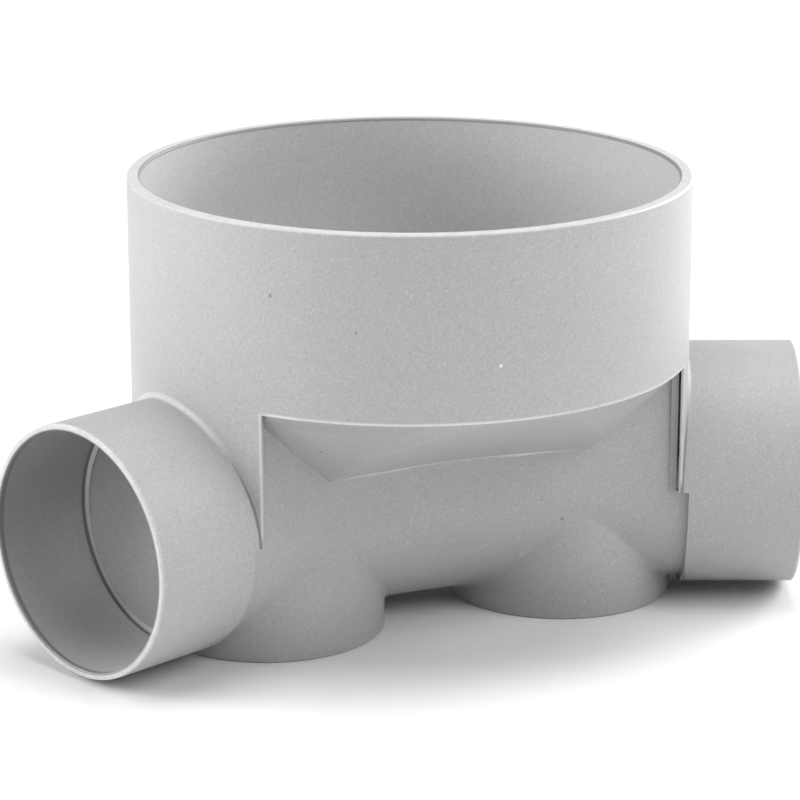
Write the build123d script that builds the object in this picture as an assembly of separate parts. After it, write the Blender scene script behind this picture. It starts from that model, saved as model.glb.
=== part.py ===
"""Drain inspection chamber base: one moulded plastic body with a large riser socket on top and a
curved channel between two pipe sockets. Millimetres, +Z up. The origin lies on the riser's axis,
in the plane the two feet stand on. The channel bends in plan and its inner side faces -Y."""
import os
from math import cos, hypot, radians, sin, sqrt, tan

from build123d import *

# Driving dimensions.
pipe_od = 110.0             # drain pipe that enters each side socket
pipe_wall = 3.2
pipe_fit = 0.4              # play on the diameter between pipe and socket
socket_wall = 3.3
socket_depth = 50.5         # from the mouth to the stop
socket_end_wall = 3.8       # from the stop to the socket's inner shoulder
spigot_run = 4.3            # straight run from the end of the bend to that shoulder

riser_pipe_od = 250.0       # riser pipe that stands in the top socket
riser_fit = 0.6             # play on the diameter
riser_wall = 6.2
riser_depth = 82.0          # from the rim to the stop ledge
ledge_width = 4.5           # stop ledge for the riser pipe
ledge_rise = 3.0            # stop ledge above the lower edge of the full riser wall

floor_clear = 6.0           # the channel's underside above the plane of the feet
crown_clear = 5.5           # lower edge of the full riser wall above the sockets' tops

bend_angle = 45.0
bend_past = 5.19            # the bend ends this far outside the riser's skin

channel_edge_rise = 23.0    # where the bench meets the channel side, above the centreline
side_lean = 3.0             # the channel side leans in by this much up to the step
bench_wall = 4.0            # measured square to the bench
bench_lip = 0.6             # the bench starts this far inside the riser's skin
bench_end_slope = 1.0       # rise over run where the bench closes in beside the skirts

skirt_overhang = 0.4        # skirt edges stand this far outside the socket's side
skirt_low = 2.0             # the skirt ends this far above the centreline
skirt_lip = 1.4             # thickness of the skirt's free edge
skirt_wall = 6.2
groove_width = 1.7          # shadow groove behind the free edge
groove_depth = 6.0

foot_inset = 1.0            # the feet stand this far inside the channel's sides
foot_wall = 3.2
foot_back = 7.69            # the feet end this far before the end of the bend
foot_edge = 0.6

rim_round = 1.3
mouth_round = 0.7
junction_round = 1.6
foot_round = 2.5

past = 1.0                  # cutting shapes run past the faces they open by this much
bench_root = 6.0            # each bench starts this far inside the channel's side

# Derived dimensions.
half_bend = bend_angle / 2
channel_or = pipe_od / 2
channel_ir = channel_or - pipe_wall
socket_ir = (pipe_od + pipe_fit) / 2
socket_or = socket_ir + socket_wall
riser_ir = (riser_pipe_od + riser_fit) / 2
riser_or = riser_ir + riser_wall
throat_r = riser_ir - ledge_width
axis_height = channel_or + floor_clear
step_height = axis_height + socket_or + crown_clear
ledge_height = step_height + ledge_rise
chamber_height = ledge_height + riser_depth
edge_height = axis_height + channel_edge_rise
skirt_at = axis_height + skirt_low
skin = riser_or - bench_lip

bend_tangent = riser_or + bend_past
bend_radius = bend_tangent / tan(radians(half_bend))
axes_meet_y = bend_radius / cos(radians(half_bend)) - bend_radius
shoulder_at = bend_tangent + spigot_run
stop_at = shoulder_at + socket_end_wall
mouth_at = stop_at + socket_depth
past_mouth = mouth_at + 10 * past
skirt_half = socket_or + skirt_overhang
foot_or = channel_or - foot_inset
foot_x = bend_tangent - foot_or - foot_back
foot_y = sqrt(bend_radius**2 - foot_x**2) - bend_radius

bend_axis = Axis((0, -bend_radius, 0), (0, 0, 1))


def column(r, low, high):
    """Round bar on the riser's axis."""
    return extrude(Plane.XY.offset(low) * Circle(r), amount=high - low)


def socket_plane(side, reach, height):
    """Plane square to a socket's axis (side -1 left, 1 right), reach out from where the two axes
    meet. Its x points to the outer side of the bend, its normal out of the mouth."""
    c = cos(radians(half_bend))
    s = sin(radians(half_bend))
    centre = (side * reach * c, axes_meet_y - reach * s, height)
    return Plane(origin=centre, x_dir=(side * s, c, 0), z_dir=(side * c, -s, 0))


def rod(side, start, end, r):
    """Round bar on a socket's axis."""
    return extrude(socket_plane(side, start, axis_height) * Circle(r), amount=end - start)


def slab(side, inner, outer, low, high):
    """Block along a socket's axis between two distances across it, from the riser's middle out."""
    c = cos(radians(half_bend))
    s = sin(radians(half_bend))
    frame = Plane(origin=(0, axes_meet_y, low), x_dir=(side * c, -s, 0), z_dir=(0, 0, 1))
    middle = side * (inner + outer) / 2
    outline = Pos((past_mouth / 2, middle)) * Rectangle(past_mouth, outer - inner)
    return extrude(frame * outline, amount=high - low)


def around_bend(face):
    """Revolve a face that stands in the plane x = 0 through the whole bend."""
    return revolve(face, bend_axis, revolution_arc=bend_angle).rotate(bend_axis, -half_bend)


def tube(r):
    """Round bar that follows the bend."""
    return around_bend(Plane.YZ * Pos((0, axis_height)) * Circle(r))


def trough(r, lean, top):
    """Body that follows the bend: half round below, its sides leaning in up to the top."""
    at = axis_height
    low = ThreePointArc((0, -r, at), (0, 0, at - r), (0, r, at))
    rest = Polyline((0, r, at), (0, r - lean, top), (0, lean - r, top), (0, -r, at))
    return around_bend(make_face(low.edges() + rest.edges()))


def bench(side, lift, start, end, top):
    """Wedge beside the channel on the inner (-1) or outer (1) side of the bend, from start to end
    off the centreline. Its sloping face runs from the channel side up to the riser's skin, or lies
    lift above that."""
    side_in = side_lean * channel_edge_rise / (step_height - axis_height)
    edge = channel_or - side_in
    slope = (step_height - edge_height) / (skin - edge)
    base = edge_height + lift * hypot(1, slope)
    near = base + slope * (start - edge)
    far = base + slope * (end - edge)
    ring = [(start, top), (end, top), (end, far), (start, near)]
    return around_bend(make_face(Polyline(*[(0, side * d, h) for d, h in ring], close=True)))


def funnel(r, at, top):
    """Round bar on the riser's axis up to top, coned in under the height at by bench_end_slope."""
    drop = at - axis_height
    cone = Cone(r - drop / bench_end_slope, r, drop, align=(Align.CENTER, Align.CENTER, Align.MIN))
    return Pos((0, 0, axis_height)) * cone + column(r, at, top)


# The outside.
sides = (-1, 1)
body = column(riser_or, step_height, chamber_height)
trough_top = step_height + 2 * past
bench_top = step_height + past
beyond = column(past_mouth, skirt_at, trough_top + past) - column(skin, skirt_at, trough_top + past)
body += trough(channel_or, side_lean, trough_top) - beyond
cone = funnel(skin, step_height, bench_top)
for side in sides:
    body += bench(side, 0, channel_or - bench_root, skin + past, bench_top) & cone

free_edge = riser_or - skirt_lip
groove_r = free_edge - groove_width
outer = column(riser_or, axis_height, step_height)
middle = column(free_edge, axis_height, step_height)
skirt = outer - column(riser_or - skirt_wall, axis_height, step_height)
edge = outer - middle
gap = middle - column(groove_r, axis_height, step_height)
deep = channel_or - groove_depth
for side in sides:
    body += skirt & slab(side, -channel_or, channel_or, skirt_at, step_height)
    body += edge & slab(side, -skirt_half, skirt_half, skirt_at, step_height)
    body -= gap & slab(side, -skirt_half - past, -deep, skirt_at, step_height)
    body -= gap & slab(side, deep, skirt_half + past, skirt_at, step_height)
    body += rod(side, bend_tangent, shoulder_at, channel_or)
    crown = rod(side, 0, shoulder_at, socket_or)
    crown &= slab(side, -skirt_half, skirt_half, skirt_at, step_height)
    body += crown - column(free_edge, 0, chamber_height)
    body += rod(side, shoulder_at, mouth_at, socket_or)

for side in sides:
    spot = Plane(origin=(side * foot_x, foot_y, 0))
    ring = spot * (Circle(foot_or) - Circle(foot_or - foot_wall))
    body += extrude(ring, amount=axis_height)

# The inside, cut out as one body.
cone_drop = (skin - throat_r) * bench_end_slope
cone_at = step_height - cone_drop + bench_wall * hypot(1, bench_end_slope)
bench_top = ledge_height + past
trough_top = ledge_height + 2 * past
cone = funnel(throat_r, cone_at, bench_top)
hollow = trough(channel_ir, side_lean, trough_top) & column(throat_r, 0, trough_top)
for side in sides:
    start = channel_ir - 2 * bench_root
    hollow += bench(side, bench_wall, start, throat_r + 2 * past, bench_top) & cone
hollow += column(riser_ir, ledge_height, chamber_height + past)
hollow += tube(channel_ir) - column(throat_r, 0, chamber_height)
for side in sides:
    hollow += rod(side, bend_tangent, stop_at, channel_ir)
    hollow += rod(side, stop_at, mouth_at + past, socket_ir)

body -= hollow

# Rounded edges.
near = 0.01                 # edges this close to a face count as on it
rim = body.edges().filter_by_position(Axis.Z, chamber_height - near, chamber_height + near)
body = fillet(rim, rim_round)
for side in sides:
    mouth = socket_plane(side, mouth_at, axis_height)
    rims = [e for e in body.edges() if abs(mouth.to_local_coords(e.center()).Z) < near
            and abs(mouth.to_local_coords(e @ 0).Z) < near]
    body = fillet(rims, mouth_round)
body = chamfer(body.edges().filter_by_position(Axis.Z, -near, near), foot_edge)


def follows(edge, test):
    """Whether three points along an edge all pass a test."""
    return all(test(edge @ f) for f in (0.1, 0.5, 0.9))


def on_junction(p):
    """On the line where a socket runs into the riser's skin."""
    if abs(hypot(p.X, p.Y) - riser_or) > near or not skirt_at + 0.5 < p.Z < step_height:
        return False
    local = [socket_plane(side, mouth_at, axis_height).to_local_coords(p) for side in sides]
    return any(abs(hypot(q.X, q.Y) - socket_or) < 5 * near and q.Z < 0 for q in local)


def on_foot(p):
    """On the line where a foot runs into the channel."""
    away = [hypot(p.X - side * foot_x, p.Y - foot_y) for side in sides]
    return any(abs(r - foot_or) < near for r in away) and foot_edge + 1 < p.Z < axis_height - 1


body = fillet([e for e in body.edges() if follows(e, on_junction)], junction_round)
body = fillet([e for e in body.edges() if follows(e, on_foot)], foot_round)

os.makedirs("parts", exist_ok=True)
export_step(body, "parts/chamber_base.step")
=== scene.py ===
"""Looks for the drain inspection chamber base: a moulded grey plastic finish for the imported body,
and a plain studio with the photograph's viewing angle. Metres, in the part's own frame."""
import math

import bpy
import numpy as np
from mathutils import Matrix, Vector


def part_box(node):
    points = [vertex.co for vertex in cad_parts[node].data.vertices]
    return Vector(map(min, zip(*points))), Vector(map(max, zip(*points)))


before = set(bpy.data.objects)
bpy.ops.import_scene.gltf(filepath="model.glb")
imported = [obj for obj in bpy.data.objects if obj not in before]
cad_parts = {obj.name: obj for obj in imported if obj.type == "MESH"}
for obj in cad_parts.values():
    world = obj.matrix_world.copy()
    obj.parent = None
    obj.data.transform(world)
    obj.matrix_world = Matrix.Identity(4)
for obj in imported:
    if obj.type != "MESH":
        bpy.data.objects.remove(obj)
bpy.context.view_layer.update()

bl_info = {
    "name": "Drain Inspection Chamber Base",
    "version": (1, 0, 0),
    "blender": (4, 5, 0),
    "location": "View3D > Sidebar > Chamber",
    "description": "Finishes a moulded drain chamber base and lays its studio",
    "category": "Object",
}

BODY = "chamber_base"

# The body's highest corner: its y is the riser's outside radius, its z the rim's height.
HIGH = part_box(BODY)[1]

# Single marks in the plastic: place, radius and whether it is pale.
SPECKS = (
    ((-0.1009, -0.0842, 0.1796), 0.0007, False),
    ((-0.0714, -0.1104, 0.1665), 0.0005, False),
    ((-0.0121, -0.1309, 0.1507), 0.0006, True),
    ((-0.0763, -0.0802, 0.1048), 0.0007, False),
    ((0.0527, -0.0591, 0.0506), 0.0006, False),
    ((-0.1259, -0.0403, 0.1181), 0.0006, False),
)

# Faint scratches on the channel's side: start, end and half width.
SCRATCHES = (
    ((-0.0195, -0.0556, 0.0705), (-0.0225, -0.0558, 0.0575), 0.0003),
    ((-0.0225, -0.0558, 0.0575), (-0.0245, -0.0535, 0.0445), 0.0003),
    ((-0.0120, -0.0552, 0.0640), (-0.0155, -0.0550, 0.0500), 0.00025),
    ((-0.0065, -0.0550, 0.0600), (-0.0100, -0.0510, 0.0410), 0.00025),
    ((0.0075, -0.0490, 0.0350), (0.0190, -0.0515, 0.0405), 0.0004),
)


# Property groups.

class ChamberPlastic(bpy.types.PropertyGroup):
    """Colours and marks of the moulded plastic."""
    tone: bpy.props.FloatVectorProperty(
        name="Plastic colour", description="Base colour of the moulded plastic",
        subtype="COLOR", size=3, min=0, max=1, default=(0.403, 0.408, 0.405))
    cloud: bpy.props.FloatProperty(
        name="Clouding", description="Broad unevenness of the colour",
        subtype="FACTOR", min=0, max=1, default=0.06)
    grain: bpy.props.FloatProperty(
        name="Grain", description="Contrast of the fine speckle in the surface",
        subtype="FACTOR", min=0, max=1, default=0.85)
    grain_size: bpy.props.FloatProperty(
        name="Grain size", description="Size of one grain of the speckle",
        unit="LENGTH", subtype="DISTANCE", default=0.0007)
    gloss: bpy.props.FloatProperty(
        name="Roughness", description="How dull the plastic is",
        subtype="FACTOR", min=0, max=1, default=0.5)
    fleck_spacing: bpy.props.FloatProperty(
        name="Fleck spacing", description="Mean distance between the cells that hold a fleck",
        unit="LENGTH", subtype="DISTANCE", default=0.03)
    fleck_size: bpy.props.FloatProperty(
        name="Fleck size", description="Radius of a dark fleck",
        unit="LENGTH", subtype="DISTANCE", default=0.0006)


class ChamberForm(bpy.types.PropertyGroup):
    """Places on the body that its marks and worn edges follow."""
    rim_height: bpy.props.FloatProperty(
        name="Rim height", description="Top of the riser socket above the feet",
        unit="LENGTH", subtype="DISTANCE", default=HIGH[2])
    riser_radius: bpy.props.FloatProperty(
        name="Riser radius", description="Outside radius of the riser socket",
        unit="LENGTH", subtype="DISTANCE", default=HIGH[1])
    step_height: bpy.props.FloatProperty(
        name="Step height", description="Lower edge of the full riser wall",
        unit="LENGTH", subtype="DISTANCE", default=0.125)
    step_half: bpy.props.FloatProperty(
        name="Step half length", description="From the middle to where that edge meets a skirt",
        unit="LENGTH", subtype="DISTANCE", default=0.101)
    bend_radius: bpy.props.FloatProperty(
        name="Bend radius", description="Centreline of the channel in plan",
        unit="LENGTH", subtype="DISTANCE", default=0.33)
    half_bend: bpy.props.FloatProperty(
        name="Half bend", description="Angle between a socket's axis and the X axis",
        unit="ROTATION", subtype="ANGLE", default=math.radians(22.5))
    mouth_reach: bpy.props.FloatProperty(
        name="Mouth reach", description="From where the axes meet to a socket's mouth",
        unit="LENGTH", subtype="DISTANCE", default=0.19529)
    seam_height: bpy.props.FloatProperty(
        name="Seam height", description="Moulding seam where bench and channel meet",
        unit="LENGTH", subtype="DISTANCE", default=0.084)
    seam_offset: bpy.props.FloatProperty(
        name="Seam offset", description="From the channel's centreline to that seam",
        unit="LENGTH", subtype="DISTANCE", default=0.0539)
    seam_half: bpy.props.FloatProperty(
        name="Seam half length", description="From the middle of the bend to the seam's ends",
        unit="LENGTH", subtype="DISTANCE", default=0.064)
    skirt_half: bpy.props.FloatProperty(
        name="Skirt half width", description="From a socket's axis to the skirt's free edge",
        unit="LENGTH", subtype="DISTANCE", default=0.0589)
    skirt_foot: bpy.props.FloatProperty(
        name="Skirt foot", description="Lower end of the skirts",
        unit="LENGTH", subtype="DISTANCE", default=0.063)
    riser_bore: bpy.props.FloatProperty(
        name="Riser bore", description="Inside radius of the riser socket",
        unit="LENGTH", subtype="DISTANCE", default=0.1253)
    axis_height: bpy.props.FloatProperty(
        name="Axis height", description="Sockets' axes above the feet",
        unit="LENGTH", subtype="DISTANCE", default=0.061)
    socket_bore: bpy.props.FloatProperty(
        name="Socket bore", description="Inside radius of a pipe socket",
        unit="LENGTH", subtype="DISTANCE", default=0.0552)
    socket_radius: bpy.props.FloatProperty(
        name="Socket radius", description="Outside radius of a pipe socket",
        unit="LENGTH", subtype="DISTANCE", default=0.0585)
    channel_bore: bpy.props.FloatProperty(
        name="Channel bore", description="Inside radius of the channel",
        unit="LENGTH", subtype="DISTANCE", default=0.0518)
    stop_reach: bpy.props.FloatProperty(
        name="Stop reach", description="From where the axes meet to a socket's stop shoulder",
        unit="LENGTH", subtype="DISTANCE", default=0.14479)


class ChamberStudio(bpy.types.PropertyGroup):
    """Floor, lights and camera."""
    floor_colour: bpy.props.FloatVectorProperty(
        name="Floor colour", description="Colour of the studio floor",
        subtype="COLOR", size=3, min=0, max=1, default=(0.82, 0.82, 0.818))
    floor_radius: bpy.props.FloatProperty(
        name="Floor radius", description="Radius of the studio floor",
        unit="LENGTH", subtype="DISTANCE", default=9.0)
    edge_height: bpy.props.FloatProperty(
        name="Edge height", description="How far the floor's edge turns up",
        unit="LENGTH", subtype="DISTANCE", default=1.5)
    floor_glow: bpy.props.FloatProperty(
        name="Floor glow", description="Strength of the even light on the far floor", default=0.45)
    edge_glow: bpy.props.FloatProperty(
        name="Edge glow", description="How much that light grows on the floor behind the lamps",
        default=0.47)
    room_light: bpy.props.FloatProperty(
        name="Room light", description="Strength of the even light from all round", default=0.02)
    side_power: bpy.props.FloatProperty(
        name="Side light", description="Power of the large light square to the left",
        unit="POWER", default=42.0)
    key_power: bpy.props.FloatProperty(
        name="Key light", description="Power of the large light at the front left",
        unit="POWER", default=3.5)
    fill_power: bpy.props.FloatProperty(
        name="Fill light", description="Power of the large light at the front right",
        unit="POWER", default=27.0)
    back_power: bpy.props.FloatProperty(
        name="Back light", description="Power of the large light behind on the right",
        unit="POWER", default=44.0)
    top_power: bpy.props.FloatProperty(
        name="Top light", description="Power of the large light overhead",
        unit="POWER", default=39.0)
    heading: bpy.props.FloatProperty(
        name="Heading", description="Turn of the camera about the riser's axis",
        unit="ROTATION", subtype="ANGLE", default=math.radians(22.58))
    pitch: bpy.props.FloatProperty(
        name="Pitch", description="How far the camera looks down",
        unit="ROTATION", subtype="ANGLE", default=math.radians(16.29))
    stand_off: bpy.props.FloatProperty(
        name="Stand-off", description="Level distance from the riser's axis to the camera",
        unit="LENGTH", subtype="DISTANCE", default=1.44902)
    sideways: bpy.props.FloatProperty(
        name="Sideways", description="Camera's place left or right of the riser's axis",
        unit="LENGTH", subtype="DISTANCE", default=-0.00461)
    eye_height: bpy.props.FloatProperty(
        name="Eye height", description="Camera's height above the floor",
        unit="LENGTH", subtype="DISTANCE", default=0.52211)
    lens: bpy.props.FloatProperty(
        name="Lens", description="Focal length in millimetres on a 36 mm sensor", default=143.036)


# Shader building.

class Graph:
    """Nodes of one material. Every method but feed adds nodes, and gives the last one's output."""

    def __init__(self, name):
        self.material = bpy.data.materials.new(name)
        self.material.use_nodes = True
        self.tree = self.material.node_tree
        self.tree.nodes.clear()
        self.place = self.add("ShaderNodeTexCoord").outputs["Object"]

    def add(self, kind, **settings):
        """A node of that kind, itself, with its settings."""
        node = self.tree.nodes.new(kind)
        for key, value in settings.items():
            setattr(node, key, value)
        return node

    def feed(self, socket, value):
        """Links an output to the socket, or sets the socket to a plain value."""
        if isinstance(value, bpy.types.NodeSocket):
            self.tree.links.new(value, socket)
        else:
            socket.default_value = value

    def calc(self, operation, *values):
        """One math operation on numbers."""
        node = self.add("ShaderNodeMath", operation=operation)
        for socket, value in zip(node.inputs, values):
            self.feed(socket, value)
        return node.outputs[0]

    def length(self, first, second):
        """Square root of the sum of both squares."""
        squares = [self.calc("POWER", value, 2.0) for value in (first, second)]
        return self.calc("SQRT", self.calc("ADD", *squares))

    def span(self, value, low, high, to_low=0.0, to_high=1.0, smooth=True):
        """The range low to high turned into to_low to to_high, and flat beyond it."""
        easing = "SMOOTHSTEP" if smooth else "LINEAR"
        node = self.add("ShaderNodeMapRange", interpolation_type=easing)
        for socket, given in zip(node.inputs, (value, low, high, to_low, to_high)):
            self.feed(socket, given)
        return node.outputs[0]

    def over(self, value, limit, soft):
        """0 up to limit, easing to 1 over soft beyond it."""
        return self.span(value, limit, limit + soft)

    def under(self, value, limit, soft):
        """1 up to limit, easing to 0 over soft beyond it."""
        return self.span(value, limit, limit + soft, 1.0, 0.0)

    def noise(self, size, detail=2.0, rough=0.5, at=None):
        """Noise with features of about that size, mostly from 0.3 to 0.7."""
        node = self.add("ShaderNodeTexNoise")
        self.feed(node.inputs["Vector"], at or self.place)
        node.inputs["Scale"].default_value = 1 / size
        node.inputs["Detail"].default_value = detail
        node.inputs["Roughness"].default_value = rough
        return node.outputs["Fac"]

    def moved(self, scale=(1, 1, 1), turn=(0, 0, 0), shift=(0, 0, 0)):
        """The place, scaled, turned and shifted, so that a pattern there is a different one."""
        node = self.add("ShaderNodeMapping")
        self.feed(node.inputs["Vector"], self.place)
        node.inputs["Location"].default_value = shift
        node.inputs["Rotation"].default_value = turn
        node.inputs["Scale"].default_value = scale
        return node.outputs[0]

    def blend(self, factor, first, second, kind="MIX"):
        """From the first colour at factor 0 to the second, or their product, at factor 1."""
        node = self.add("ShaderNodeMix", data_type="RGBA", blend_type=kind)
        self.feed(node.inputs[0], factor)
        self.feed(node.inputs[6], first)
        self.feed(node.inputs[7], second)
        return node.outputs[2]

    def axes(self):
        """The place's x, y and z."""
        node = self.add("ShaderNodeSeparateXYZ")
        self.feed(node.inputs[0], self.place)
        return node.outputs

    def vector(self, operation, first, second):
        """One operation on vectors. A distance or a dot product comes out as a number."""
        node = self.add("ShaderNodeVectorMath", operation=operation)
        self.feed(node.inputs[0], first)
        self.feed(node.inputs[3 if operation == "SCALE" else 1], second)
        return node.outputs[1 if operation in ("DISTANCE", "DOT_PRODUCT") else 0]

    def spot(self, centre, radius):
        """1 within radius of centre, easing to 0 over half as much again."""
        gap = self.vector("DISTANCE", self.place, centre)
        return self.under(gap, radius, radius / 2)

    def stroke(self, start, end, half):
        """1 within half of the straight line from start to end, easing to 0 over as much again. The
        nearest point of the line lies at the share (p - start) . (end - start) / length^2."""
        run = [b - a for a, b in zip(start, end)]
        square = sum(c * c for c in run)
        away = self.vector("SUBTRACT", self.place, start)
        share = self.vector("DOT_PRODUCT", away, [c / square for c in run])
        share = self.span(share, 0.0, 1.0, smooth=False)
        near = self.vector("SCALE", run, share)
        gap = self.vector("DISTANCE", away, near)
        return self.under(gap, half, half)

    def every(self, first, *rest):
        """Product of masks."""
        for mask in rest:
            first = self.calc("MULTIPLY", first, mask)
        return first

    def any(self, first, *rest):
        """Largest of masks."""
        for mask in rest:
            first = self.calc("MAXIMUM", first, mask)
        return first

    def bump(self, height, distance, strength=1.0, normal=None):
        """Relief up to distance high, over the relief in normal. A strength below 0 sinks it."""
        node = self.add("ShaderNodeBump")
        node.inputs["Strength"].default_value = strength
        node.inputs["Distance"].default_value = distance
        self.feed(node.inputs["Height"], height)
        if normal:
            self.feed(node.inputs["Normal"], normal)
        return node.outputs[0]


def band(g, value, centre, half, soft):
    """1 where value is within half of centre, easing to 0 over soft beyond that."""
    away = g.calc("ABSOLUTE", g.calc("SUBTRACT", value, centre))
    return g.under(away, half, soft)


def from_riser(g):
    """Distance from the riser's axis."""
    x, y, _ = g.axes()
    return g.length(x, y)


def beside_socket(g, form):
    """Where a point lies in plan, from where the sockets' axes meet, at y = m = r / cos(h) - r for
    the bend's radius r and half angle h: its reach along the nearer axis is
    |x| cos(h) - (y - m) sin(h), and its place across it |x| sin(h) + (y - m) cos(h)."""
    x, y, _ = g.axes()
    cos_h, sin_h = math.cos(form.half_bend), math.sin(form.half_bend)
    axes_meet = form.bend_radius / cos_h - form.bend_radius
    wide = g.calc("ABSOLUTE", x)
    back = g.calc("SUBTRACT", y, axes_meet)
    reach = g.calc("SUBTRACT", g.calc("MULTIPLY", wide, cos_h), g.calc("MULTIPLY", back, sin_h))
    across = g.calc("ADD", g.calc("MULTIPLY", wide, sin_h), g.calc("MULTIPLY", back, cos_h))
    return reach, across


def from_socket(g, form):
    """Reach along the nearer socket's axis, and the distance from that axis."""
    _, _, z = g.axes()
    reach, across = beside_socket(g, form)
    return reach, g.length(across, g.calc("SUBTRACT", z, form.axis_height))


# Masks of the places on the body that look different: wear, seam and marks, and painted light and
# shade.

def worn_and_lit_edges(g, form):
    """Mask of the rim and the two mouths, where the plastic is worn; on the rim's top the pale band
    is also a painted highlight.
    """
    rim_width, mouth_width = 0.0012, 0.0016
    _, _, z = g.axes()
    reach, _ = beside_socket(g, form)
    rim = g.over(z, form.rim_height - rim_width, soft=0.001)
    mouth = g.over(reach, form.mouth_reach - mouth_width, soft=0.0013)
    return g.any(mouth, rim)


def seam_line(g, form):
    """Height of the moulding seam on the channel's sides: a low bead that follows the bend at one
    height, found from the distance to the bend's centre in plan."""
    half_width, half_depth, wobble, taper = 0.0001, 0.003, 0.0004, 0.012
    x, y, z = g.axes()
    out = g.length(x, g.calc("ADD", y, form.bend_radius))
    side = g.calc("ABSOLUTE", g.calc("SUBTRACT", out, form.bend_radius))
    near = band(g, side, form.seam_offset, half_depth, soft=0.002)
    wander = g.span(g.noise(0.03), 0.3, 0.7, -wobble, wobble)
    level = band(g, g.calc("ADD", z, wander), form.seam_height, half_width, soft=0.0009)
    fade = g.span(g.noise(0.05, at=g.moved(shift=(0.3, 0.1, 0.2))), 0.38, 0.58, 0.5, 1.0)
    along = g.under(g.calc("ABSOLUTE", x), form.seam_half - taper, taper)
    return g.every(near, level, fade, along)


def lit_edges(g, form):
    """Mask of the narrow painted highlights on the riser's skin: along the lower edge of the full
    wall, weaker to the right, and along the skirts' free edges, half a skirt from a socket's axis."""
    step_width, skirt_width, below = 0.0006, 0.0012, 0.001
    under_skin, above_skin = 0.0009, 0.0004
    step_shine, skirt_shine = 0.85, 0.65
    full_at, weak_at, weak = -0.06, 0.1, 0.35
    x, _, z = g.axes()
    _, across = beside_socket(g, form)
    out = from_riser(g)
    skin = g.every(g.over(out, form.riser_radius - under_skin, soft=0.0005),
                   g.under(out, form.riser_radius + above_skin, soft=0.0004))
    step = g.every(g.under(z, form.step_height + step_width, soft=0.001),
                   g.over(z, form.step_height - below, soft=0.0005),
                   g.under(g.calc("ABSOLUTE", x), form.step_half, soft=0.004),
                   g.span(x, full_at, weak_at, 1.0, weak))
    skirt = g.every(g.over(g.calc("ABSOLUTE", across), form.skirt_half - skirt_width, soft=0.0006),
                    g.under(z, form.step_height, soft=0.001),
                    g.over(z, form.skirt_foot - below, soft=0.009))
    shine = g.any(g.calc("MULTIPLY", step, step_shine), g.calc("MULTIPLY", skirt, skirt_shine))
    uneven = g.span(g.noise(0.02), 0.3, 0.7, 0.7, 1.0)
    return g.every(shine, skin, uneven)


def painted_rim_shade(g, form):
    """Mask of the thin dark line of painted shade on the rounding just inside the rim."""
    past_bore, below_rim = 0.0006, 0.0018
    _, _, z = g.axes()
    inside = g.under(from_riser(g), form.riser_bore + past_bore, soft=0.0006)
    return g.every(inside, g.over(z, form.rim_height - below_rim, soft=0.0006))


def well_wall(g, form):
    """Mask of the riser's inside, made lighter than the skin by painted light."""
    _, _, z = g.axes()
    inside = g.under(from_riser(g), form.riser_bore, soft=0.0004)
    return g.every(inside, g.over(z, form.step_height, soft=0.004))


def bench_underside(g, form):
    """Mask of painted shade on the benches' sloping undersides, told by the z of their normal:
    faint on the wedge, stronger on its coned ends, which look less far down, and weak again towards
    the skirts."""
    wedge_normal, cone_normal = -0.88, -0.72
    wedge_dull, cone_dull = 0.02, 0.15
    cone_start, cone_end, end_share = 0.062, 0.09, 0.2
    x, _, z = g.axes()
    facing = g.add("ShaderNodeSeparateXYZ")
    g.feed(facing.inputs[0], g.add("ShaderNodeTexCoord").outputs["Normal"])
    upward = facing.outputs[2]
    return g.every(
        g.span(upward, wedge_normal, cone_normal, wedge_dull, cone_dull),
        g.under(upward, -0.6, soft=0.4),
        g.span(g.calc("ABSOLUTE", x), cone_start, cone_end, 1.0, end_share),
        g.under(from_riser(g), form.riser_radius - 0.0005, soft=0.0003),
        g.over(z, form.seam_height - 0.006, soft=0.005))


def skirt_edge_face(g, form):
    """Mask of painted shade on the narrow face beside the shadow groove behind each skirt's free
    edge.
    """
    shade_strength, start, depth, inner_end = 0.22, 0.0024, 0.009, 0.09
    _, _, z = g.axes()
    reach, _ = from_socket(g, form)
    away = from_riser(g)
    deep = g.every(g.under(away, form.riser_radius - start, soft=0.0006),
                   g.over(away, form.riser_radius - depth, soft=0.003))
    tall = g.every(g.over(z, form.skirt_foot - 0.002, soft=0.002),
                   g.under(z, form.step_height - 0.0006, soft=0.0004))
    return g.every(deep, tall, g.over(reach, inner_end, soft=0.01), shade_strength)


def foot_shade(g):
    """Mask of painted shade on the lower part of both feet, darker the nearer it is to the ground.
    """
    low, high, shade_strength, feet_end = 0.002, 0.035, 0.3, 0.115
    x, _, z = g.axes()
    return g.every(g.span(z, low, high, shade_strength, 0.0),
                   g.under(g.calc("ABSOLUTE", x), feet_end, soft=0.02))


def in_socket(g, form):
    """Mask of a pipe socket's inside, from just behind its stop shoulder to the mouth."""
    past_bore, behind = 0.0004, 0.0016
    reach, out = from_socket(g, form)
    return g.every(g.under(out, form.socket_bore + past_bore, soft=0.0004),
                   g.over(reach, form.stop_reach - behind, soft=0.0006))


def shaded_bore(g, form):
    """Mask of painted shade on the inside of the pipe sockets and of the channel behind them, less
    so low down where light falls in."""
    past_bore, channel_dull = 0.0004, 0.6
    start, full = form.stop_reach - 0.05, form.stop_reach - 0.02
    bright_below, dull_above = 0.025, 0.085
    _, _, z = g.axes()
    reach, out = from_socket(g, form)
    channel = g.every(g.under(out, form.channel_bore + past_bore, soft=0.0004),
                      g.span(reach, start, full, 0.0, channel_dull))
    return g.every(g.any(in_socket(g, form), channel), g.span(z, bright_below, dull_above))


def shoulder_highlight(g, form):
    """Mask of the painted highlight on the stop shoulder in each pipe socket, between its bore and
    the channel's.
    """
    half_depth, half_width = 0.0005, 0.0011
    reach, out = from_socket(g, form)
    middle = (form.channel_bore + form.socket_bore) / 2
    return g.every(in_socket(g, form), band(g, reach, form.stop_reach, half_depth, soft=0.0004),
                   band(g, out, middle, half_width, soft=0.0005))


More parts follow.
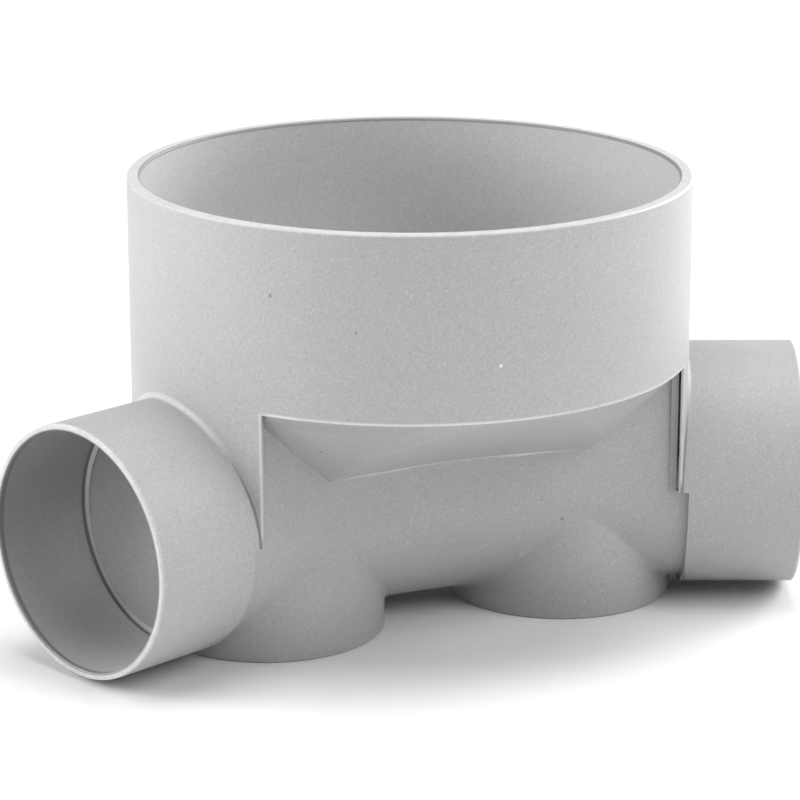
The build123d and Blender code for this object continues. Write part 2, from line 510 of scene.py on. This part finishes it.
def fillet_highlight(g, form):
    """Mask of the painted highlight on the rounding where each barrel runs into the riser's skin,
    from its top down.
    """
    strength, half_width, fades_at = 0.38, 0.0008, 0.097
    off_barrel, off_skin = 0.0012, 0.0004
    _, _, z = g.axes()
    _, out = from_socket(g, form)
    return g.every(band(g, out, form.socket_radius + off_barrel, half_width, soft=0.0012),
                   band(g, from_riser(g), form.riser_radius + off_skin, half_width, soft=0.001),
                   g.over(z, fades_at, soft=0.017), strength)


def painted_crease_shade(g, form):
    """Mask of painted shade in the sockets' corners: before the stop shoulder, inside the mouth,
    and low where the barrel runs into the riser."""
    corner_half, lip_depth, lip_shade, crack_top = 0.0005, 0.0032, 0.9, 0.085
    off_stop, off_barrel, off_skin = 0.0011, 0.0003, 0.0003
    _, _, z = g.axes()
    reach, out = from_socket(g, form)
    corner = g.every(in_socket(g, form),
                     band(g, reach, form.stop_reach + off_stop, corner_half, soft=0.0006),
                     g.over(out, form.socket_bore - 0.0006, soft=0.0004))
    lip = g.every(g.under(out, form.socket_bore + 0.0008, soft=0.0004),
                  g.over(reach, form.mouth_reach - lip_depth, soft=0.001), lip_shade)
    crack = g.every(band(g, out, form.socket_radius + off_barrel, 0.0002, soft=0.0005),
                    band(g, from_riser(g), form.riser_radius + off_skin, 0.0003, soft=0.0007),
                    g.under(z, crack_top, soft=0.023))
    return g.any(corner, lip, crack)


def scratches(g):
    """Mask of the scratches: stretched noise broken up by a broader one, and the single strokes."""
    stretched = g.moved(scale=(9, 90, 140), turn=(0.35, 0.9, 0.5))
    fine = g.span(g.noise(0.07, 2.0, 0.6, at=stretched), 0.715, 0.745)
    where = g.span(g.noise(0.045, 1.0, at=g.moved(shift=(0.15, 0.4, 0.05))), 0.5, 0.6)
    strokes = g.any(*(g.stroke(*line) for line in SCRATCHES))
    broken = g.span(g.noise(0.0025, 2.0, 0.6), 0.35, 0.6, 0.15, 0.9)
    return g.any(g.every(fine, where), g.every(strokes, broken))


def dark_flecks(g, plastic):
    """Mask of the dark flecks: one of uneven size in the middle of each cell of a Voronoi pattern,
    and the single dark specks."""
    cell = g.add("ShaderNodeTexVoronoi", feature="F1")
    g.feed(cell.inputs["Vector"], g.place)
    cell.inputs["Scale"].default_value = 1 / plastic.fleck_spacing
    chance = g.add("ShaderNodeSeparateColor")
    g.feed(chance.inputs[0], cell.outputs["Color"])
    share = g.span(chance.outputs[0], 0.0, 1.0, 0.35, 1.0)
    edge = g.calc("MULTIPLY", share, plastic.fleck_size / plastic.fleck_spacing)
    flecks = g.calc("LESS_THAN", cell.outputs["Distance"], edge)
    return g.any(flecks, *(g.spot(place, radius) for place, radius, pale in SPECKS if not pale))


def moulded_plastic(plastic, form):
    """Grey moulded plastic: clouded colour, fine speckle, a few dark flecks, faint scratches, worn
    edges and a moulding seam, with painted highlights on the rim, seam, edges, shoulders and
    fillets, painted light on the riser's inside and painted shade in bores, recesses and creases,
    and with the roughness and the bump following them."""
    g = Graph("moulded_grey_plastic")

    def shade(factor):
        """The plastic's colour times factor."""
        return tuple(min(1.0, c * factor) for c in plastic.tone) + (1.0,)

    tone, dark, light, pale, shade_colour = (shade(factor) for factor in (1.0, 0.76, 1.25, 1.7, 0.3))
    warm = (plastic.tone[0] * 1.01, plastic.tone[1], plastic.tone[2] * 0.985, 1.0)
    dull = (0.62, 0.62, 0.62, 1.0)
    painted_light = (1.24, 1.24, 1.24, 1.0)
    dirt_black = (0.12, 0.115, 0.105, 1.0)
    chalk_white = (0.75, 0.75, 0.74, 1.0)
    scratch_part, fleck_part, worn_highlight_part, seam_highlight_part, shade_part = 0.6, 0.55, 0.5, 0.85, 0.75

    cloud = g.noise(0.11, 3.0, 0.55)
    patch = g.noise(0.021, 2.0, 0.5, at=g.moved(shift=(0.7, 0.2, 0.4)))
    grain = g.noise(plastic.grain_size, 2.0, 0.62)
    coarse = g.noise(plastic.grain_size * 2.6, 1.0, 0.5, at=g.moved(shift=(1.3, 0.6, 0.9)))
    speckle = g.calc("ADD", g.calc("MULTIPLY", grain, 0.8), g.calc("MULTIPLY", coarse, 0.2))
    colour = g.blend(g.span(patch, 0.35, 0.65, 0.0, 0.5), tone, warm)
    colour = g.blend(g.span(cloud, 0.3, 0.7, 0.0, plastic.cloud * 2.5), colour, dark)
    colour = g.blend(g.span(speckle, 0.52, 0.70, 0.0, plastic.grain), colour, light)
    colour = g.blend(g.span(speckle, 0.48, 0.30, 0.0, plastic.grain), colour, dark)

    scratch = scratches(g)
    colour = g.blend(g.calc("MULTIPLY", scratch, scratch_part), colour, light)
    colour = g.blend(g.calc("MULTIPLY", dark_flecks(g, plastic), fleck_part), colour, dirt_black)
    pale_specks = g.any(*(g.spot(place, radius) for place, radius, pale in SPECKS if pale))
    colour = g.blend(pale_specks, colour, chalk_white)

    # Rim and mouths lightened: worn plastic, and on the rim's top a painted highlight.
    rubbed_and_lit = g.every(worn_and_lit_edges(g, form), g.span(g.noise(0.004, 3.0, 0.65), 0.32, 0.62, 0.6, 1.0))
    colour = g.blend(g.calc("MULTIPLY", rubbed_and_lit, worn_highlight_part), colour, pale)
    seam = seam_line(g, form)
    # Seam lightened: a painted highlight along the bead, whose relief is the bump further down.
    colour = g.blend(g.calc("MULTIPLY", seam, seam_highlight_part), colour, pale)

    # Painted shade: bores, bench undersides, skirt edge faces and the feet made darker.
    painted_shade = g.any(shaded_bore(g, form), bench_underside(g, form), skirt_edge_face(g, form),
                  foot_shade(g))
    colour = g.blend(painted_shade, colour, dull, "MULTIPLY")
    # Painted light: the riser's inside made lighter than the skin.
    colour = g.blend(well_wall(g, form), colour, painted_light, "MULTIPLY")
    # Painted highlights: lit edges, stop shoulders and fillets lightened towards pale.
    painted_highlights = g.any(lit_edges(g, form), shoulder_highlight(g, form), fillet_highlight(g, form))
    colour = g.blend(painted_highlights, colour, pale)
    # Painted shade: dark lines inside the rim and in the sockets' corners and creases.
    painted_dark_lines = g.any(painted_rim_shade(g, form), painted_crease_shade(g, form))
    colour = g.blend(g.calc("MULTIPLY", painted_dark_lines, shade_part), colour, shade_colour)

    sheen = g.span(cloud, 0.3, 0.7, plastic.gloss - 0.05, plastic.gloss + 0.06)
    sheen = g.calc("ADD", sheen, g.span(grain, 0.3, 0.7, -0.03, 0.03))
    sheen = g.calc("ADD", sheen, g.calc("MULTIPLY", scratch, 0.12))
    sheen = g.calc("SUBTRACT", sheen, g.calc("MULTIPLY", rubbed_and_lit, 0.08))

    skin = g.noise(0.0045, 2.0, 0.5, at=g.moved(shift=(0.9, 0.9, 0.1)))
    wave = g.noise(0.035, 2.0, 0.5, at=g.moved(shift=(0.2, 1.1, 0.6)))
    normal = None
    for height, depth, strength in (
            (wave, 0.0006, 0.6), (skin, 0.00012, 0.6), (grain, 0.00006, 0.7),
            (scratch, 0.00008, -0.5), (seam, 0.0004, 1.0)):
        normal = g.bump(height, depth, strength, normal)

    shader = g.add("ShaderNodeBsdfPrincipled")
    g.feed(shader.inputs["Base Color"], colour)
    g.feed(shader.inputs["Roughness"], sheen)
    g.feed(shader.inputs["Normal"], normal)
    shader.inputs["IOR"].default_value = 1.5
    shader.inputs["Specular IOR Level"].default_value = 0.45
    g.feed(g.add("ShaderNodeOutputMaterial").inputs["Surface"], shader.outputs[0])
    return g.material


def floor_paint(studio):
    """Pale painted studio floor with a trace of unevenness. Near the chamber only the lamps light
    it; further off it also glows evenly, so that every view has the same pale ground."""
    g = Graph("studio_floor_paint")
    base = tuple(studio.floor_colour) + (1.0,)
    shade = tuple(c * 0.985 for c in studio.floor_colour) + (1.0,)
    near, far, at_lamps, past_lamps = 0.7, 2.0, 1.3, 2.3
    away = from_riser(g)
    glow = g.calc("ADD", g.span(away, near, far, 0.0, studio.floor_glow),
                  g.span(away, at_lamps, past_lamps, 0.0, studio.edge_glow))
    shader = g.add("ShaderNodeBsdfPrincipled")
    g.feed(shader.inputs["Base Color"], g.blend(g.span(g.noise(0.4), 0.3, 0.7), base, shade))
    g.feed(shader.inputs["Roughness"], g.span(g.noise(0.01), 0.3, 0.7, 0.85, 0.95))
    shader.inputs["Specular IOR Level"].default_value = 0.1
    shader.inputs["Emission Color"].default_value = (1, 1, 1, 1)
    g.feed(shader.inputs["Emission Strength"], glow)
    g.feed(g.add("ShaderNodeOutputMaterial").inputs["Surface"], shader.outputs[0])
    return g.material


# Stage.

def cove(radius, height, rings, spokes):
    """Points and faces of a round studio floor whose edge turns up: the point of ring i and spoke j
    lies at radius r = radius (i / rings)^2 and angle 2 pi j / spokes, so that the middle is finely
    divided, and at height height (3 t^2 - 2 t^3), where t runs from 0 to 1 over the last third."""
    i, j = np.meshgrid(np.arange(1, rings + 1), np.arange(spokes), indexing="ij")
    r = radius * (i / rings) ** 2
    a = 2 * math.pi * j / spokes
    t = np.clip(3 * r / radius - 2, 0, 1)
    z = height * (3 * t ** 2 - 2 * t ** 3)
    points = np.stack([r * np.cos(a), r * np.sin(a), z], -1).reshape(-1, 3)
    points = np.vstack([points, [[0, 0, 0]]])
    ring, spoke = np.meshgrid(np.arange(rings - 1), np.arange(spokes), indexing="ij")
    here, on = ring * spokes + spoke, ring * spokes + (spoke + 1) % spokes
    quads = np.stack([here, here + spokes, on + spokes, on], -1).reshape(-1, 4)
    s = np.arange(spokes)
    tips = np.stack([np.full(spokes, rings * spokes), s, (s + 1) % spokes], -1)
    return points, quads.tolist() + tips.tolist()


def softbox(name, size, power, turn, rise):
    """Square lamp that faces the chamber from distance reach, turned about the riser's axis from
    the -Y side with left positive, and raised by rise above the floor."""
    reach, aim = 2.2, 0.1
    data = bpy.data.lights.new(name, "AREA")
    data.shape = "SQUARE"
    data.size = size
    data.energy = power
    lamp = bpy.data.objects.new(name, data)
    bpy.context.scene.collection.objects.link(lamp)
    level = reach * math.cos(rise)
    lamp.location = (-math.sin(turn) * level, -math.cos(turn) * level, reach * math.sin(rise) + aim)
    lamp.rotation_euler = (math.pi / 2 - rise, 0, -turn)


def hang_lamps(studio):
    """Hangs the five lamps: name, size, power, and in degrees their turn to the left of the
    camera's heading and their rise."""
    for name, size, power, side, rise in (
            ("side_light", 1.2, studio.side_power, 85, 22),
            ("key_light", 1.4, studio.key_power, 50, 38),
            ("fill_light", 1.4, studio.fill_power, -63, 40),
            ("back_light", 1.2, studio.back_power, -130, 22),
            ("top_light", 1.6, studio.top_power, 0, 89)):
        softbox(name, size, power, studio.heading + math.radians(side), math.radians(rise))


def hang_camera(studio):
    """Sets the camera level distance stand_off from the riser's axis, turned about that axis by
    heading, and makes it the scene's."""
    data = bpy.data.cameras.new("studio_camera")
    data.sensor_width = 36
    data.lens = studio.lens
    data.clip_start = 0.05
    data.clip_end = 60
    camera = bpy.data.objects.new("studio_camera", data)
    bpy.context.scene.collection.objects.link(camera)
    c, s = math.cos(studio.heading), math.sin(studio.heading)
    x, y = studio.sideways, -studio.stand_off
    camera.location = (x * c + y * s, -x * s + y * c, studio.eye_height)
    camera.rotation_euler = (math.pi / 2 - studio.pitch, 0, -studio.heading)
    bpy.context.scene.camera = camera


# Operators.

class CHAMBER_OT_finish_body(bpy.types.Operator):
    """Give the moulded body its plastic"""
    bl_idname = "chamber.finish_body"
    bl_label = "Finish Moulded Body"

    def execute(self, context):
        scene = context.scene
        plastic = moulded_plastic(scene.chamber_plastic, scene.chamber_form)
        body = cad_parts[BODY]
        for slot in body.material_slots:
            slot.link = "OBJECT"
            slot.material = plastic
        if not body.material_slots:
            raise RuntimeError("the body has no material slot")
        return {"FINISHED"}


class CHAMBER_OT_lay_stage(bpy.types.Operator):
    """Lay the floor, the lights and the camera"""
    bl_idname = "chamber.lay_stage"
    bl_label = "Lay Studio"

    def execute(self, context):
        scene = context.scene
        studio = scene.chamber_studio
        points, faces = cove(studio.floor_radius, studio.edge_height, rings=36, spokes=64)
        mesh = bpy.data.meshes.new("studio_floor")
        mesh.from_pydata(points, [], faces)
        mesh.materials.append(floor_paint(studio))
        floor = bpy.data.objects.new("studio_floor", mesh)
        scene.collection.objects.link(floor)

        world = bpy.data.worlds.new("studio_air")
        world.use_nodes = True
        air = world.node_tree.nodes["Background"]
        air.inputs["Color"].default_value = (1, 1, 1, 1)
        air.inputs["Strength"].default_value = studio.room_light
        scene.world = world

        hang_lamps(studio)
        hang_camera(studio)
        scene.view_settings.view_transform = "Standard"
        return {"FINISHED"}


class CHAMBER_PT_panel(bpy.types.Panel):
    """Sidebar panel of the chamber"""
    bl_idname = "CHAMBER_PT_panel"
    bl_label = "Chamber"
    bl_space_type = "VIEW_3D"
    bl_region_type = "UI"
    bl_category = "Chamber"

    def draw(self, context):
        scene = context.scene
        for step in STEPS:
            self.layout.operator(step.bl_idname)
        for group in (scene.chamber_plastic, scene.chamber_form, scene.chamber_studio):
            box = self.layout.box()
            for name in group.__annotations__:
                box.prop(group, name)


GROUPS = {
    "chamber_plastic": ChamberPlastic,
    "chamber_form": ChamberForm,
    "chamber_studio": ChamberStudio,
}
STEPS = (CHAMBER_OT_finish_body, CHAMBER_OT_lay_stage)


def register():
    """Makes the groups, operators and panel known to Blender."""
    for cls in (*GROUPS.values(), *STEPS, CHAMBER_PT_panel):
        bpy.utils.register_class(cls)
    for name, group in GROUPS.items():
        setattr(bpy.types.Scene, name, bpy.props.PointerProperty(type=group))


def unregister():
    """Takes them away again."""
    for name in GROUPS:
        delattr(bpy.types.Scene, name)
    for cls in (CHAMBER_PT_panel, *reversed(STEPS), *reversed(list(GROUPS.values()))):
        bpy.utils.unregister_class(cls)


def main():
    """Dresses the body and lays the stage."""
    register()
    bpy.ops.chamber.finish_body()
    bpy.ops.chamber.lay_stage()


if __name__ == "__main__":
    main()
